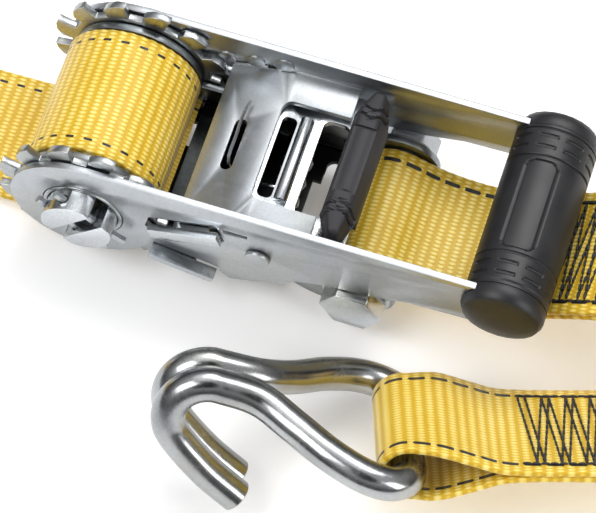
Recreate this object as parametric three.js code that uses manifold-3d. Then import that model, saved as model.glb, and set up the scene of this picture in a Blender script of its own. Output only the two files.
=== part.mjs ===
// A two inch ratchet strap buckle with its webbing and two double J hooks.
// Millimetres, +Z up. X runs along the strap from the drum to the grip, Y across it.
// The origin is the middle of the flat underside of the base frame.
import * as THREE from 'three';
import { mergeVertices } from 'three/addons/utils/BufferGeometryUtils.js';
import Module from 'manifold-3d';

const wasm = await Module();
wasm.setup();

// ---- driving dimensions -------------------------------------------------
const GAP = 0.3;
const WEBBING_WIDTH = 50;
const WEBBING_THICKNESS = 2.4;
const HALF_WEBBING = WEBBING_WIDTH / 2;

const AXIS_X = -48;
const AXIS_Z = 22;
const GROUND_Z = -11;
const LAID_Z = GROUND_Z + WEBBING_THICKNESS / 2;

const BASE_INNER_Y = 25.8;
const BASE_PLATE = 2.5;
const WHEEL_INNER_Y = 28.9;
const WHEEL_PLATE = 2.8;
const HANDLE_INNER_Y = 32.5;
const HANDLE_OUTER_Y = 35;

const WHEEL_TEETH = 12;
const WHEEL_TIP_R = 33;
const WHEEL_ROOT_R = 26;
const NOTCH_ANGLE = 4.2;
const NOTCH_HALF_WIDTH = 6;
const WOUND_R = 26.5;

const MANDREL_R = 13.1;
const MANDREL_SLOT = 6;
const MANDREL_HALF_LENGTH = 43;
const MANDREL_TURN = 49;

const PLATE_TOP = 27;
const LOBE_R = 27;
const GRIP_X = 152.5;
const GRIP_Z = 17;
const GRIP_R = 14.9;

const WEB_SLOPE = THREE.MathUtils.degToRad(18.3);
const WEB_BEND = [58, 17];
const LOCK_SLOPE = THREE.MathUtils.degToRad(-12);
const LOCK_CORNER = [25.5, -9.4];

const BOLT_X = 99.5;
const BOLT_Z = -14;
const BOLT_R = 5.8;
const SLEEVE_R = 8;

const HOOK_WIRE_R = 6;

// ---- finishes -----------------------------------------------------------
const finish = (color, roughness, metalness) => new THREE.MeshStandardMaterial({ color, roughness, metalness });
const STEEL = finish('#c3c9cc', 0.28, 1);
const BRIGHT_STEEL = finish('#d8dcdf', 0.2, 1);
const WHEEL_STEEL = finish('#b4b9ba', 0.32, 1);
const WEBBING = finish('#e3b32e', 0.6, 0);
const GRIP_RUBBER = finish('#2b2b2d', 0.55, 0);
const PULL_RUBBER = finish('#3c3b40', 0.75, 0);

// ---- solids -------------------------------------------------------------
function toSolid(geometry) {
  const bare = geometry.clone();
  bare.deleteAttribute('normal');
  bare.deleteAttribute('uv');
  const merged = mergeVertices(bare, 1e-4);
  return new wasm.Manifold(new wasm.Mesh({
    numProp: 3,
    vertProperties: new Float32Array(merged.attributes.position.array),
    triVerts: new Uint32Array(merged.index.array),
  }));
}

function toGeometry(body) {
  const mesh = body.getMesh();
  const geometry = new THREE.BufferGeometry();
  geometry.setAttribute('position', new THREE.BufferAttribute(new Float32Array(mesh.vertProperties), 3));
  geometry.setIndex(new THREE.BufferAttribute(new Uint32Array(mesh.triVerts), 1));
  geometry.computeVertexNormals();
  return geometry;
}

const join = (first, ...rest) => rest.reduce((sum, part) => sum.add(part), first);
const cut = (first, ...rest) => rest.reduce((left, part) => left.subtract(part), first);

// An outline drawn in X and Z, extruded from y0 to y1.
function extrudeY(shape, y0, y1, curveSegments = 9) {
  const geometry = new THREE.ExtrudeGeometry(shape, { depth: y1 - y0, bevelEnabled: false, curveSegments });
  return toSolid(geometry.rotateX(Math.PI / 2).translate(0, y1, 0));
}

// An outline drawn in X and Y, extruded from z0 to z1.
function extrudeZ(shape, z0, z1, curveSegments = 3) {
  const geometry = new THREE.ExtrudeGeometry(shape, { depth: z1 - z0, bevelEnabled: false, curveSegments });
  return toSolid(geometry.translate(0, 0, z0));
}

function box(x0, x1, y0, y1, z0, z1) {
  const geometry = new THREE.BoxGeometry(x1 - x0, y1 - y0, z1 - z0);
  return toSolid(geometry.translate((x0 + x1) / 2, (y0 + y1) / 2, (z0 + z1) / 2));
}

function rodY(radius, y0, y1, x, z, sides = 24) {
  const geometry = new THREE.CylinderGeometry(radius, radius, y1 - y0, sides);
  return toSolid(geometry.translate(x, (y0 + y1) / 2, z));
}

function ringY(outer, inner, y0, y1, x, z, sides = 32) {
  return cut(rodY(outer, y0, y1, x, z, sides), rodY(inner, y0 - 1, y1 + 1, x, z, sides));
}

function outline(points) {
  return new THREE.Shape(points.map(([x, z]) => new THREE.Vector2(x, z)));
}

function roundedRect(x0, x1, y0, y1, r) {
  const shape = new THREE.Shape();
  shape.absarc(x1 - r, y1 - r, r, 0, Math.PI / 2);
  shape.absarc(x0 + r, y1 - r, r, Math.PI / 2, Math.PI);
  shape.absarc(x0 + r, y0 + r, r, Math.PI, 1.5 * Math.PI);
  shape.absarc(x1 - r, y0 + r, r, 1.5 * Math.PI, 2 * Math.PI);
  return shape;
}

// A round wire that follows a smooth curve through the given points.
function wire(points, radius, steps, sides) {
  const path = new THREE.CatmullRomCurve3(points.map((p) => new THREE.Vector3(...p)), false, 'centripetal');
  const section = new THREE.Shape();
  for (let i = 0; i < sides; i += 1) {
    const angle = (2 * Math.PI * i) / sides;
    const place = [radius * Math.cos(angle), radius * Math.sin(angle)];
    if (i === 0) section.moveTo(...place);
    else section.lineTo(...place);
  }
  return new THREE.ExtrudeGeometry(section, { steps, bevelEnabled: false, extrudePath: path });
}

const mirrored = (part) => join(part, part.mirror([0, 1, 0]));

const material = new Map();
function piece(name, body, look) {
  const geometry = body.isBufferGeometry ? body : toGeometry(body);
  const mesh = new THREE.Mesh(geometry, look);
  mesh.name = name;
  material.set(name, look);
  return mesh;
}

// Points along and square to the sloping part of the handle's web, from its top face.
function onWeb(along, above) {
  const [x, z] = WEB_BEND;
  const c = Math.cos(WEB_SLOPE);
  const s = Math.sin(WEB_SLOPE);
  return [x + along * c - above * s, z + along * s + above * c];
}

// Points along and square to the locking pawl, from the top corner at its toothed end.
function onLock(along, above) {
  const [x, z] = LOCK_CORNER;
  const c = Math.cos(LOCK_SLOPE);
  const s = Math.sin(LOCK_SLOPE);
  return [x + along * c - above * s, z + along * s + above * c];
}

const quad = (place, a0, a1, b0, b1) => outline([place(a0, b0), place(a1, b0), place(a1, b1), place(a0, b1)]);

// ---- base frame: a channel that carries the drum, the lock and the strap bolt ----
const LOCK_LENGTH = 25;
const LOCK_PLATE = 3;
const LOCK_TRAVEL = 7;
const SPRING_PIN_LOCK = [66, -13.5];
const FLOOR_TOP = -19.5;
const FLOOR_BOTTOM = -22;
const BASE_OUTER_Y = BASE_INNER_Y + BASE_PLATE;

function baseSideOutline() {
  const lobe = 24;
  const end = 14;
  const shape = new THREE.Shape();
  shape.absarc(0, 0, lobe, Math.asin(-2 / lobe), Math.PI, false);
  shape.absarc(0, 0, lobe, Math.PI, 2 * Math.PI - Math.asin(22 / lobe), false);
  shape.lineTo(76, FLOOR_BOTTOM);
  shape.quadraticCurveTo(84, BOLT_Z - end, BOLT_X, BOLT_Z - end);
  shape.absarc(BOLT_X, BOLT_Z, end, -Math.PI / 2, Math.PI / 2, false);
  shape.lineTo(84, -2);
  return shape;
}

function makeBase() {
  const side = cut(
    extrudeY(baseSideOutline(), BASE_INNER_Y, BASE_OUTER_Y),
    rodY(MANDREL_R + 0.4, BASE_INNER_Y - 1, BASE_OUTER_Y + 1, 0, 0, 32),
    rodY(BOLT_R + GAP, BASE_INNER_Y - 1, BASE_OUTER_Y + 1, BOLT_X, BOLT_Z),
    rodY(2.8, BASE_INNER_Y - 1, BASE_OUTER_Y + 1, ...SPRING_PIN_LOCK, 12),
    extrudeY(
      quad(onLock, -0.5, LOCK_LENGTH + LOCK_TRAVEL + 1.2, -LOCK_PLATE - 0.4, 0.4),
      BASE_INNER_Y - 1,
      BASE_OUTER_Y + 1,
    ),
  );
  const floor = cut(
    box(20, 84, -BASE_INNER_Y - 0.5, BASE_INNER_Y + 0.5, FLOOR_BOTTOM, FLOOR_TOP),
    mirrored(toSolid(new THREE.CylinderGeometry(5.4, 5.4, 10, 16).rotateX(Math.PI / 2).translate(24, 16, -20))),
    extrudeZ(outline([[70.8, -12], [90, -12], [90, 12], [70.8, 12]]), -30, 0),
    extrudeZ(outline([[73.8, -16], [90, -21.6], [90, 21.6], [73.8, 16]]), -30, 0),
    extrudeZ(roundedRect(74, 95, -21.6, 21.6, 3), -30, 0),
  );
  const group = new THREE.Group();
  group.add(piece('base_frame', join(mirrored(side), floor), STEEL));

  const hexHead = (y0, y1) => toSolid(
    new THREE.CylinderGeometry(11.5, 11.5, y1 - y0, 6).rotateY(Math.PI / 6).translate(BOLT_X, (y0 + y1) / 2, BOLT_Z),
  );
  const washerY = BASE_OUTER_Y + 0.2;
  const headY = washerY + 1.5;
  const shank = rodY(BOLT_R, -headY - 1, 41, BOLT_X, BOLT_Z, 24);
  group.add(piece('base_bolt', join(hexHead(-headY - 7.7, -headY - 0.1), shank), BRIGHT_STEEL));
  group.add(piece('bolt_nut', cut(hexHead(headY + 0.1, headY + 8.6), rodY(BOLT_R + 0.2, 20, 50, BOLT_X, BOLT_Z, 24)), STEEL));
  group.add(piece('bolt_washer_near', ringY(12.6, 6.2, -washerY - 1.4, -washerY, BOLT_X, BOLT_Z), STEEL));
  group.add(piece('bolt_washer_far', ringY(12.6, 6.2, washerY, washerY + 1.4, BOLT_X, BOLT_Z), STEEL));
  group.add(piece('bolt_sleeve', ringY(SLEEVE_R, 6.2, -25.5, 25.5, BOLT_X, BOLT_Z), STEEL));

  const pinEnd = BASE_OUTER_Y + 0.3;
  group.add(piece('lock_spring_pin', rodY(2.5, -pinEnd, pinEnd, ...SPRING_PIN_LOCK, 12), STEEL));
  group.add(piece('lock_spring', torsionSpring(SPRING_PIN_LOCK, 3.5, 0.6, 16, [
    [60.5, -16, -10.2],
    [58.2, -16, -12.4],
  ]), STEEL));
  return group;
}

// A coil round a cross pin, with a leg that leaves one end of the coil.
function torsionSpring([x, z], coilR, wireR, halfLength, leg) {
  const turns = 4;
  const perTurn = 8;
  const points = [];
  for (let i = turns * perTurn; i >= 0; i -= 1) {
    const angle = Math.PI / 2 + (2 * Math.PI * i) / perTurn;
    const y = -halfLength + (2 * halfLength * i) / (turns * perTurn);
    points.push([x + coilR * Math.cos(angle), y, z + coilR * Math.sin(angle)]);
  }
  return wire([...points, ...leg], wireR, turns * perTurn + 3 * leg.length, 5);
}

function makeLockPawl() {
  const top = [0.5, LOCK_LENGTH];
  const slab = (a0, a1, y) => extrudeY(quad(onLock, a0, a1, -LOCK_PLATE, 0), -y, y);
  const slabs = (a0, a1, y0, y1) => mirrored(extrudeY(quad(onLock, a0, a1, -LOCK_PLATE, 0), y0, y1));
  return piece('lock_pawl', join(
    slab(top[0], top[1], 40),
    slabs(-0.8, 4, WHEEL_INNER_Y - 0.3, WHEEL_INNER_Y + WHEEL_PLATE + 0.2),
  ).subtract(
    mirrored(extrudeY(quad(onLock, 17, LOCK_LENGTH + 1, -LOCK_PLATE - 1, 1), 32.1, 35.4)),
  ).subtract(
    mirrored(extrudeY(quad(onLock, -2, 8, -1, 1), WHEEL_INNER_Y - 0.4, WHEEL_INNER_Y + WHEEL_PLATE + 0.3)),
  ), BRIGHT_STEEL);
}

// ---- drum: two mandrel halves, two wheels and the wound webbing ---------
function wheelOutline() {
  const shape = new THREE.Shape();
  const pitch = 360 / WHEEL_TEETH;
  const at = (radius, degrees) => {
    const angle = THREE.MathUtils.degToRad(degrees);
    return [radius * Math.cos(angle), radius * Math.sin(angle)];
  };
  for (let i = 0; i < WHEEL_TEETH; i += 1) {
    const notch = NOTCH_ANGLE + i * pitch;
    const tooth = [
      at(WHEEL_ROOT_R, notch - NOTCH_HALF_WIDTH),
      at(WHEEL_ROOT_R, notch + NOTCH_HALF_WIDTH),
      at(WHEEL_TIP_R - 1.6, notch + NOTCH_HALF_WIDTH + 0.4),
      at(WHEEL_TIP_R, notch + NOTCH_HALF_WIDTH - 0.1),
      at(WHEEL_TIP_R - 0.1, notch + 12),
      at(WHEEL_TIP_R - 1, notch + 18),
      at(WHEEL_TIP_R - 3.2, notch + pitch - NOTCH_HALF_WIDTH - 0.6),
    ];
    tooth.forEach((place, k) => (i + k === 0 ? shape.moveTo(...place) : shape.lineTo(...place)));
  }
  return shape;
}

function makeDrum() {
  const group = new THREE.Group();
  const turned = new THREE.Group();
  turned.rotation.y = THREE.MathUtils.degToRad(-MANDREL_TURN);

  const halfRound = (sign) => {
    const flat = MANDREL_SLOT / 2;
    const corner = 11;
    const body = rodY(MANDREL_R - 0.2, -MANDREL_HALF_LENGTH, MANDREL_HALF_LENGTH, 0, 0, 32);
    const keep = sign > 0 ? box(-corner, corner, -50, 50, flat, 20) : box(-corner, corner, -50, 50, -20, -flat);
    return body.intersect(keep);
  };
  const pinY = 39;
  const pinOffset = 5;
  const pinHoles = [-1, 1].flatMap((side) => [-1, 1].map((place) => toSolid(
    new THREE.CylinderGeometry(1.9, 1.9, 40, 8).rotateX(Math.PI / 2).translate(place * pinOffset, side * pinY, 0),
  )));
  turned.add(piece('mandrel_half_upper', cut(halfRound(1), ...pinHoles), BRIGHT_STEEL));
  turned.add(piece('mandrel_half_lower', cut(halfRound(-1), ...pinHoles), BRIGHT_STEEL));
  for (const [side, name] of [[-1, 'near'], [1, 'far']]) {
    for (const [place, number] of [[-1, 1], [1, 2]]) {
      const pin = splitPin();
      pin.translate(place * pinOffset, side * pinY, 0);
      turned.add(piece(`split_pin_${name}_${number}`, toSolid(pin), STEEL));
    }
  }
  group.add(turned);

  for (const [side, name] of [[-1, 'near'], [1, 'far']]) {
    const y0 = side > 0 ? WHEEL_INNER_Y : -WHEEL_INNER_Y - WHEEL_PLATE;
    const wheel = cut(
      extrudeY(wheelOutline(), y0, y0 + WHEEL_PLATE),
      rodY(MANDREL_R + 0.1, -50, 50, 0, 0, 32),
    );
    group.add(piece(`ratchet_wheel_${name}`, wheel, WHEEL_STEEL));
    const c0 = side > 0 ? HANDLE_INNER_Y + 0.1 : -HANDLE_OUTER_Y - 0.3;
    group.add(piece(`drum_collar_${name}`, ringY(14.7, MANDREL_R + 0.1, c0, c0 + 2.7, 0, 0), STEEL));
  }
  group.add(piece('drum_webbing', ringY(WOUND_R, MANDREL_R + 0.2, -HALF_WEBBING, HALF_WEBBING, 0, 0, 40), WEBBING));
  return group;
}

// A split pin along Z: a round shank, a ball for its eye and a bent leg.
function splitPin() {
  const reach = 15.5;
  return wire([[0, 0, reach], [0, 0, 6], [0, 0, -6], [0, 0, -reach + 1], [0.8, 0, -reach - 1.6]], 1.5, 6, 6);
}

// ---- handle: a stamped frame, its driving pawl and its grip -------------
const PAWL_TOP = -2.9;
const PAWL_PLATE = 2.6;
const PAWL_TIP = -27.2;
const PAWL_LEVEL_TOP = 12.3;
const SPRING_PIN_HANDLE = [64.6, 3.2];

function handleSideOutline() {
  const shape = new THREE.Shape();
  const start = Math.asin(-8.7 / LOBE_R);
  shape.moveTo(0, PLATE_TOP);
  shape.absarc(0, 0, LOBE_R, Math.PI / 2, 2 * Math.PI + start, false);
  const below = [
    [50.4, -14], [50.6, -17], [54.6, -20], [62, -17.5], [68, -14.6], [74.2, -13.4], [75, -10.4], [79, -7.4],
    [91, -3.4], [106, -2.2], [120, 1.6], [141, 2.6], [149, 5],
  ];
  below.forEach((place) => shape.lineTo(...place));
  shape.absarc(GRIP_X, GRIP_Z, 10, -Math.PI / 2, Math.PI / 2, false);
  return shape;
}

function makeHandle() {
  const group = new THREE.Group();
  const y0 = HANDLE_INNER_Y;
  const y1 = HANDLE_OUTER_Y;
  const slot = outline([
    onWeb(-38, -3.5), onWeb(-34.6, 2.6), onWeb(-10, 2.9), onWeb(-8.6, 1.4), onWeb(-8.6, -7.8), onWeb(-36, -7.8),
  ]);
  const side = cut(
    extrudeY(handleSideOutline(), y0, y1, 12),
    rodY(15, y0 - 1, y1 + 1, 0, 0, 32),
    extrudeY(slot, y0 - 1, y1 + 1),
    box(51.6, 60.4, y0 - 1, y1 + 1, 12.9, 15.7),
    rodY(2.6, y0 - 1, y1 + 1, ...SPRING_PIN_HANDLE, 12),
    rodY(8.3, y0 - 1, y1 + 1, GRIP_X, GRIP_Z),
  );
  const [bendX, bendZ] = WEB_BEND;
  const webProfile = outline([
    onWeb(-25.6, 0), [bendX, bendZ], [81, bendZ], [81, bendZ - 2.5], [bendX, bendZ - 2.5], onWeb(-25.6, -2.5),
  ]);
  const web = cut(
    extrudeY(webProfile, -y0 - 0.2, y0 + 0.2),
    extrudeZ(roundedRect(56.4, 100, -20.5, 20.5, 4), 0, 40),
    extrudeZ(roundedRect(42, 46.4, -10.5, 10.5, 2.15), 0, 40),
  );
  const dimples = [[31.5, 13.5], [42.3, 16.3], [53, 19.3]].map(([x, z]) => rodY(3.4, y0 - 0.7, y0 + 0.5, x, z, 10));
  group.add(piece('handle_frame', join(mirrored(side), web, ...dimples), STEEL));

  group.add(piece('grip_tube', ringY(8, 6, -36.2, 36.2, GRIP_X, GRIP_Z, 20), STEEL));
  group.add(piece('grip_sleeve', ringY(GRIP_R, 8.3, -32.2, 32.2, GRIP_X, GRIP_Z), GRIP_RUBBER));
  for (const [turn, name] of [[0, 'near'], [Math.PI, 'far']]) {
    group.add(piece(`grip_cap_${name}`, gripCap(turn), GRIP_RUBBER));
  }
  const head = mirrored(rodY(4.6, y1 + 0.2, y1 + 1.8, ...SPRING_PIN_HANDLE, 16));
  const pin = join(rodY(2.3, -y1 - 1, y1 + 1, ...SPRING_PIN_HANDLE, 12), head);
  group.add(piece('pawl_spring_pin', pin, STEEL));
  const spring = torsionSpring(SPRING_PIN_HANDLE, 3.3, 0.6, 8, [
    [56, -8, 4.2],
    [49, -7.6, 4.6],
    [45.6, -7.6, 9],
    [44.2, -6, 12.2],
    [44.2, 3, 14],
    [44.2, 10, 15.4],
    [45, 17, 15.2],
  ]);
  group.add(piece('pawl_spring', spring, STEEL));
  return group;
}

// An end cap of the grip: a dome that closes over the end of the side plate.
function gripCap(turn) {
  const profile = [
    [0, 32.4], [GRIP_R, 32.4], [GRIP_R, 36], [13.6, 38.2], [10, 39.4], [5, 39.9], [0, 40],
  ].map(([r, y]) => new THREE.Vector2(r, y));
  const dome = toSolid(new THREE.LatheGeometry(profile, 24));
  const pocket = join(
    rodY(10.4, 32, 35.4, 0, 0),
    box(-30, 0, 32, 35.4, -15, 10.4),
    rodY(8.4, 32, 36.6, 0, 0),
  );
  const cap = toGeometry(cut(dome, pocket));
  if (turn === 0) cap.scale(1, -1, 1);
  const flipped = turn === 0 ? flipFaces(cap) : cap;
  return flipped.translate(GRIP_X, 0, GRIP_Z);
}

function flipFaces(geometry) {
  const index = geometry.index.array;
  for (let i = 0; i < index.length; i += 3) {
    [index[i], index[i + 1]] = [index[i + 1], index[i]];
  }
  return geometry;
}

function makeHandlePawl() {
  const group = new THREE.Group();
  const bottom = PAWL_TOP - PAWL_PLATE;
  const level = [54, 93];
  const profile = outline([
    onWeb(PAWL_TIP, PAWL_TOP), [level[0], PAWL_LEVEL_TOP], [level[1], PAWL_LEVEL_TOP],
    [level[1], PAWL_LEVEL_TOP - PAWL_PLATE], [level[0] + 0.8, PAWL_LEVEL_TOP - PAWL_PLATE], onWeb(PAWL_TIP, bottom),
  ]);
  const plate = extrudeY(profile, -31.8, 31.8);
  const neck = mirrored(extrudeY(quad(onWeb, PAWL_TIP, -14, bottom, PAWL_TOP), 31, 36));
  const flange = mirrored(extrudeY(quad(onWeb, -35.5, -8.9, -6.8, -1), 35.4, 38));
  const bead = rodY(2.5, -16.8, 16.8, 66.4, 13.2, 12);
  const openings = [
    extrudeZ(roundedRect(40, 54.6, -11.5, 11.5, 2), -5, 40),
    extrudeZ(roundedRect(57.5, 63, -16.5, 16.5, 2), -5, 40),
    extrudeZ(roundedRect(72, 82, -19.5, 19.5, 3), -5, 40),
  ];
  const body = cut(join(plate, neck, flange), ...openings);
  group.add(piece('handle_pawl', join(body, bead), BRIGHT_STEEL));

  const section = outline([
    [82, 12.6], [82, 20.5], [86.2, 27.2], [89.6, 27.8], [94.8, 20.5], [94.8, 12.6],
  ]);
  const plan = outline([[82, -21], [86.4, -29.5], [92.4, -29.5], [95, -21], [95, 21], [92.4, 29.5], [86.4, 29.5], [82, 21]]);
  const overArms = mirrored(box(80, 89, 19.4, 33, 10, 19.8));
  const pull = cut(extrudeY(section, -30, 30).intersect(extrudeZ(plan, 0, 40)), overArms);
  group.add(piece('finger_pull', pull, PULL_RUBBER));
  return group;
}

// ---- webbing ------------------------------------------------------------
// The outline of a strap seen from its edge, along a polyline in X and Z.
function strapOutline(points, thickness = WEBBING_THICKNESS) {
  const offset = (sign) => points.map(([x, z], i) => {
    const [ax, az] = points[Math.max(i - 1, 0)];
    const [bx, bz] = points[Math.min(i + 1, points.length - 1)];
    const length = Math.hypot(bx - ax, bz - az);
    return [x - (sign * thickness * (bz - az)) / (2 * length), z + (sign * thickness * (bx - ax)) / (2 * length)];
  });
  return outline([...offset(-1), ...offset(1).reverse()]);
}

const strapSolid = (points, thickness) => extrudeY(strapOutline(points, thickness), -HALF_WEBBING, HALF_WEBBING);

function alongCurve(points, count) {
  const curve = new THREE.SplineCurve(points.map(([x, z]) => new THREE.Vector2(x, z)));
  return curve.getSpacedPoints(count).map((p) => [p.x, p.y]);
}

function arcPoints(x, z, r, fromDegrees, toDegrees, count) {
  return Array.from({ length: count + 1 }, (_, i) => {
    const angle = THREE.MathUtils.degToRad(fromDegrees + ((toDegrees - fromDegrees) * i) / count);
    return [x + r * Math.cos(angle), z + r * Math.sin(angle)];
  });
}

// A strap doubled back round a bar: an eye, and two layers sewn together beyond it.
function sewnEye(barR, topRun, bottomRun) {
  const outer = barR + WEBBING_THICKNESS;
  const middle = barR + WEBBING_THICKNESS / 2;
  const turn = cut(
    ringY(outer, barR, -HALF_WEBBING, HALF_WEBBING, 0, 0, 24),
    box(1, outer + 1, -HALF_WEBBING - 1, HALF_WEBBING + 1, -outer - 1, outer + 1),
  );
  const sewn = WEBBING_THICKNESS + 0.05;
  return join(turn, strapSolid([[-0.5, middle], ...topRun], sewn), strapSolid([[-0.5, -middle], ...bottomRun], sewn));
}

const HALF_LAYER = WEBBING_THICKNESS / 2;
const FOLD_X = 383;
const FOLD_R = 2.8;
const HOOK_YAW = THREE.MathUtils.degToRad(18);
const HOOK_TILT = THREE.MathUtils.degToRad(31);
const HOOK_A = [132.4, -81.5, 19.3];
const HOOK_DOUBLE = 95;
const RISE_FROM = 62;

// Height of the fixed strap's single layer, from the end of its sewn part to the fold.
const FIXED_RUN = [
  [206.5, 40.9], [225, 43], [250, 38], [275, 26], [300, 12], [325, 1.5], [345, LAID_Z + 2 * FOLD_R],
];

function makeBoltStrap() {
  const top = [[BOLT_X + 14, BOLT_Z + AXIS_Z + 8.2], [135, 10.6], ...alongCurve([[144, 13], [152, 16.2],
    [167, 25.5], [183, 34.8], [205.8, 42]], 8)];
  const bottom = [[BOLT_X + 6, BOLT_Z + AXIS_Z - 9.3], [BOLT_X + 16, BOLT_Z + AXIS_Z - 6.4], [135, 8.2], ...alongCurve([[144.8, 10.6], [153, 13.9],
    [168, 23.2], [184.2, 32.4], [206.2, 39.6]], 8)];
  const local = (run) => run.map(([x, z]) => [x - BOLT_X, z - BOLT_Z - AXIS_Z]);
  const eye = sewnEye(SLEEVE_R + 0.4, local(top), local(bottom));
  return piece('bolt_strap_eye', toGeometry(eye).translate(BOLT_X, 0, BOLT_Z + AXIS_Z), WEBBING);
}

// One flat length of webbing, bent: over the crest, folded back under itself at a small
// angle, along the ground and up to the sewn part that holds the near hook.
function foldedStrapPoint(s, v, h) {
  const start = FIXED_RUN[0][0];
  const half = HOOK_YAW / 2;
  const x = start + s - FOLD_X;
  const across = -Math.sin(half) * x + Math.cos(half) * v;
  const ahead = Math.cos(half) * x + Math.sin(half) * v;
  const bend = Math.PI * FOLD_R;
  const place = (n, z, lean) => new THREE.Vector3(
    FOLD_X - Math.sin(half) * across + Math.cos(half) * (n + h * lean[0]),
    Math.cos(half) * across + Math.sin(half) * (n + h * lean[0]),
    z + h * lean[1],
  );
  if (ahead < 0) return place(ahead, fixedRunHeight(start + s), [0, 1]);
  if (ahead < bend) {
    const angle = ahead / FOLD_R;
    const z = LAID_Z + FOLD_R + FOLD_R * Math.cos(angle);
    return place(FOLD_R * Math.sin(angle), z, [Math.sin(angle), Math.cos(angle)]);
  }
  return returnPoint(x - bend / Math.cos(half), v, -h);
}

function fixedRunHeight(x) {
  const last = FIXED_RUN.length - 1;
  if (x >= FIXED_RUN[last][0]) return FIXED_RUN[last][1];
  let i = 0;
  while (i < last - 1 && x > FIXED_RUN[i + 1][0]) i += 1;
  const slope = (k) => {
    if (k === 0) return 0.16;
    if (k === last) return 0;
    return (FIXED_RUN[k + 1][1] - FIXED_RUN[k - 1][1]) / (FIXED_RUN[k + 1][0] - FIXED_RUN[k - 1][0]);
  };
  const [x0, z0] = FIXED_RUN[i];
  const [x1, z1] = FIXED_RUN[i + 1];
  const width = x1 - x0;
  const t = (x - x0) / width;
  return z0 * (1 + 2 * t) * (1 - t) ** 2 + slope(i) * width * t * (1 - t) ** 2
    + z1 * t * t * (3 - 2 * t) + slope(i + 1) * width * t * t * (t - 1);
}

const smooth = (t) => {
  const k = THREE.MathUtils.clamp(t, 0, 1);
  return k * k * (3 - 2 * k);
};

const RETURN_LENGTH = Math.hypot(FOLD_X - HOOK_A[0], HOOK_A[1]) - HOOK_DOUBLE;

// The returning layer: distance q from the fold, v across, h above its middle.
function returnPoint(q, v, h) {
  const f = smooth((q - RISE_FROM) / (RETURN_LENGTH - RISE_FROM));
  const tilt = HOOK_TILT * f;
  const z = LAID_Z + (HOOK_A[2] - LAID_Z) * f;
  const side = v * Math.cos(tilt) + h * Math.sin(tilt);
  return new THREE.Vector3(
    FOLD_X - q * Math.cos(HOOK_YAW) - side * Math.sin(HOOK_YAW),
    -q * Math.sin(HOOK_YAW) + side * Math.cos(HOOK_YAW),
    z - v * Math.sin(tilt) + h * Math.cos(tilt),
  );
}

// A box with a step at each station along its length, bent by a function of (s, v, h).
function bentStrap(stations, bend) {
  const steps = stations.length - 1;
  const geometry = new THREE.BoxGeometry(steps, WEBBING_WIDTH, WEBBING_THICKNESS, steps, 2, 1);
  const place = geometry.attributes.position;
  for (let i = 0; i < place.count; i += 1) {
    const station = stations[Math.round(place.getX(i) + steps / 2)];
    const point = bend(station, place.getY(i), place.getZ(i));
    place.setXYZ(i, point.x, point.y, point.z);
  }
  return toSolid(geometry);
}

function spaced(from, to, count) {
  return Array.from({ length: count }, (_, i) => from + ((to - from) * i) / count);
}

function makeFoldedStrap() {
  const atFold = FOLD_X - FIXED_RUN[0][0];
  const bend = Math.PI * FOLD_R;
  const end = atFold + bend + RETURN_LENGTH - 1;
  const stations = [
    ...spaced(0, atFold - 5, 16),
    ...spaced(atFold - 5, atFold + bend + 5, 12),
    ...spaced(atFold + bend + 5, end, 18),
    end,
  ];
  return piece('folded_strap', bentStrap(stations, foldedStrapPoint), WEBBING);
}

// ---- hooks --------------------------------------------------------------
const BOWL = [-67.6, 11.4];
const BOWL_R = 13.4;
const TIP = [-57, -21.9];
const WIRE_SPACING = HOOK_WIRE_R + 0.15;
const BIGHT_HALF = 30.5;

// A double J hook bent from one round bar. U runs from the bowls to the strap, W across
// both bowls and N up: the middle of the bar that the strap goes round is at 0, 0, 0.
function hookGeometry() {
  const bowl = arcPoints(...BOWL, BOWL_R, 205, 65, 7);
  const spread = (u) => {
    const t = smooth((u + 56) / 44);
    return WIRE_SPACING + (BIGHT_HALF - WIRE_SPACING) * t;
  };
  const side = [
    TIP,
    [-68.6, -10],
    ...bowl,
    [-50, 19.5],
    [-38, 13.6],
    [-26, 8.6],
    [-14, 3.9],
  ].map(([u, n]) => [u, spread(u), n]);
  const corner = [[-5.5, BIGHT_HALF - 0.6, 1], [0, BIGHT_HALF - 5.5, 0], [0.3, 12, 0], [0.3, 0, 0]];
  const half = [...side, ...corner];
  const other = half.slice(0, -1).reverse().map(([u, w, n]) => [u, -w, n]);
  return wire([...half, ...other], HOOK_WIRE_R, 58, 8);
}

// The sewn eye of webbing round the hook's bar, in the hook's own directions.
function hookEye() {
  const top = [[12, 9.6], [24, 4], [36, HALF_LAYER], [60, HALF_LAYER], [HOOK_DOUBLE - GAP, HALF_LAYER]];
  const bottom = [[12, -9], [24, -4.6], [36, -HALF_LAYER], [60, -HALF_LAYER], [HOOK_DOUBLE - GAP, -HALF_LAYER]];
  const narrowed = outline([[-20, 23.4], [7, 23.4], [18, 25.1], [18, 30], [-20, 30]]);
  return cut(sewnEye(8, top, bottom), mirrored(extrudeZ(narrowed, -30, 30)));
}

function placeHook(group, position, yaw, tilt) {
  const u = new THREE.Vector3(Math.cos(yaw), Math.sin(yaw), 0);
  const level = new THREE.Vector3(-Math.sin(yaw), Math.cos(yaw), 0);
  const up = new THREE.Vector3(0, 0, 1);
  const w = level.clone().multiplyScalar(Math.cos(tilt)).addScaledVector(up, -Math.sin(tilt));
  const n = new THREE.Vector3().crossVectors(u, w);
  group.quaternion.setFromRotationMatrix(new THREE.Matrix4().makeBasis(u, w, n));
  group.position.set(...position);
  return group;
}

const BUNDLE = [-402, -202];
const BUNDLE_LAYERS = 19;
const LAYER_PITCH = 2.45;
const BUNDLE_TOP = GROUND_Z + BUNDLE_LAYERS * LAYER_PITCH;
const HOOK_B_X = -602;
const HOOK_B_Z = GROUND_Z - TIP[1] + HOOK_WIRE_R;

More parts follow.
